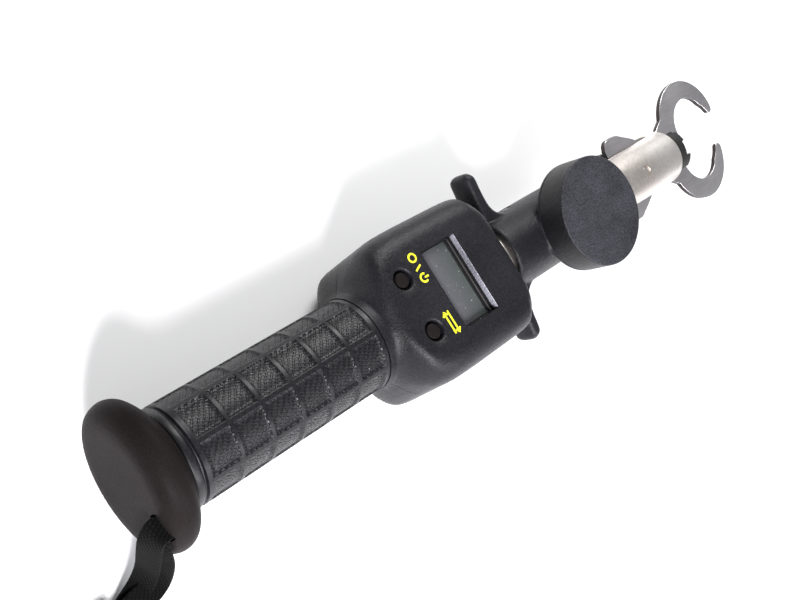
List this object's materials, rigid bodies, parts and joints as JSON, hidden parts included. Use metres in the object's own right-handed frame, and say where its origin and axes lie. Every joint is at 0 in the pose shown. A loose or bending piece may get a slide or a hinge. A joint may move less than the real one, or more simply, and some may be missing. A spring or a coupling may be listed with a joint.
{
  "type": "digital fish scale",
  "caption": "Hand-held digital hanging scale for fish: ribbed grip with wrist strap, housing with display and push buttons, and a swivelling tube with sprung hook jaws worked by a trigger.",
  "frame": {"origin": "centre of the flat outer face of the butt cap", "axes": "+X along the handle towards the jaws, +Z out of the display face, +Y to the left when looking along +X"},
  "size_m": [0.4333, 0.0702, 0.0507],
  "materials": {
    "black_abs": "fine spark-eroded grain",
    "grip_rubber": "matte, crosshatched tiles",
    "flange_rubber": "matte",
    "black_insert": "matte",
    "satin_tube": "satin, blasted",
    "jaw_steel": "brushed, polished edges",
    "plain_steel": "plain",
    "aluminium": "machined",
    "brass": "plain",
    "circuit_board": "solder mask",
    "lcd": "grey-green, blank",
    "window": "clear",
    "battery": "wrapped",
    "wire": "gloss insulation",
    "white_plastic": "satin",
    "tape": "blank tape",
    "webbing": "woven"
  },
  "bodies": {
    "handle": {"butt_cap": "flange_rubber", "handle_core": "black_abs", "rubber_grip": "grip_rubber", "anchor_screw": "plain_steel", "front_shell": "black_abs", "back_shell": "black_abs", "housing_screw_1": "plain_steel", "housing_screw_2": "plain_steel", "housing_screw_3": "plain_steel", "housing_screw_4": "plain_steel", "circuit_board": "circuit_board", "lcd_panel": "lcd", "display_window": "window", "power_switch": "plain_steel", "units_switch": "plain_steel", "battery_1": "battery", "battery_2": "battery", "contact_plate": "plain_steel", "contact_springs": "plain_steel", "load_cell": "aluminium", "load_cell_wire": "wire", "swivel_bush": "brass", "load_bolt": "plain_steel", "lanyard_strap": "webbing", "lanyard_keeper": "flange_rubber"},
    "battery_door": {"battery_door": "black_abs"},
    "power_button": {"power_button": "flange_rubber"},
    "units_button": {"units_button": "flange_rubber"},
    "grip_head": {"grip_tube": "satin_tube", "tube_plug": "aluminium", "plug_screw": "plain_steel", "thrust_washer": "brass", "pivot_pin": "plain_steel", "pivot_spacer": "plain_steel", "jaw_spring": "plain_steel", "upper_mouth_insert": "black_insert", "lower_mouth_insert": "black_insert", "return_spring": "plain_steel"},
    "trigger": {"trigger_sleeve": "black_abs", "trigger_pin": "plain_steel", "spring_seat": "black_insert", "drum_cover": "black_abs", "drum_axle": "plain_steel", "rewind_spring": "plain_steel"},
    "tape_spool": {"tape_spool": "white_plastic", "tape_coil": "tape"},
    "tape_tab": {"tape_tab": "tape"},
    "left_jaw": {"left_jaw": "jaw_steel"},
    "right_jaw": {"right_jaw": "jaw_steel"}
  },
  "joints": [
    {"name": "head_swivel", "type": "hinge", "parent": "handle", "child": "grip_head", "pos_m": [0.15, 0, 0], "axis": [1, 0, 0], "continuous": true},
    {"name": "trigger_slide", "type": "slide", "parent": "grip_head", "child": "trigger", "axis": [1, 0, 0], "range_m": [0, 0.0022], "stiffness_N_per_m": 900},
    {"name": "left_jaw_pivot", "type": "hinge", "parent": "grip_head", "child": "left_jaw", "pos_m": [0.232, 0, 0], "axis": [0, -0.2164, 0.9763], "range_deg": [-10.3, 0]},
    {"name": "right_jaw_pivot", "type": "hinge", "parent": "grip_head", "child": "right_jaw", "pos_m": [0.232, 0, 0], "axis": [0, -0.2164, 0.9763], "range_deg": [0, 10.3]},
    {"name": "power_button_press", "type": "slide", "parent": "handle", "child": "power_button", "axis": [0, 0, -1], "range_m": [0, 0.0008], "stiffness_N_per_m": 300},
    {"name": "units_button_press", "type": "slide", "parent": "handle", "child": "units_button", "axis": [0, 0, -1], "range_m": [0, 0.0008], "stiffness_N_per_m": 300},
    {"name": "battery_door_slide", "type": "slide", "parent": "handle", "child": "battery_door", "axis": [-1, 0, 0], "range_m": [0, 0.006]},
    {"name": "tape_pull", "type": "slide", "parent": "trigger", "child": "tape_tab", "axis": [1, 0, 0], "range_m": [0, 0.011]},
    {"name": "tape_spool_turn", "type": "hinge", "parent": "trigger", "child": "tape_spool", "pos_m": [0.185, 0, 0], "axis": [0, -0.2164, 0.9763], "range_deg": [-43.6, 0]}
  ],
  "couplings": [
    {"joint": "left_jaw_pivot", "follows": "trigger_slide", "rad_per_m": -81.301},
    {"joint": "right_jaw_pivot", "follows": "trigger_slide", "rad_per_m": 81.301},
    {"joint": "tape_spool_turn", "follows": "tape_pull", "rad_per_m": -68.966}
  ]
}
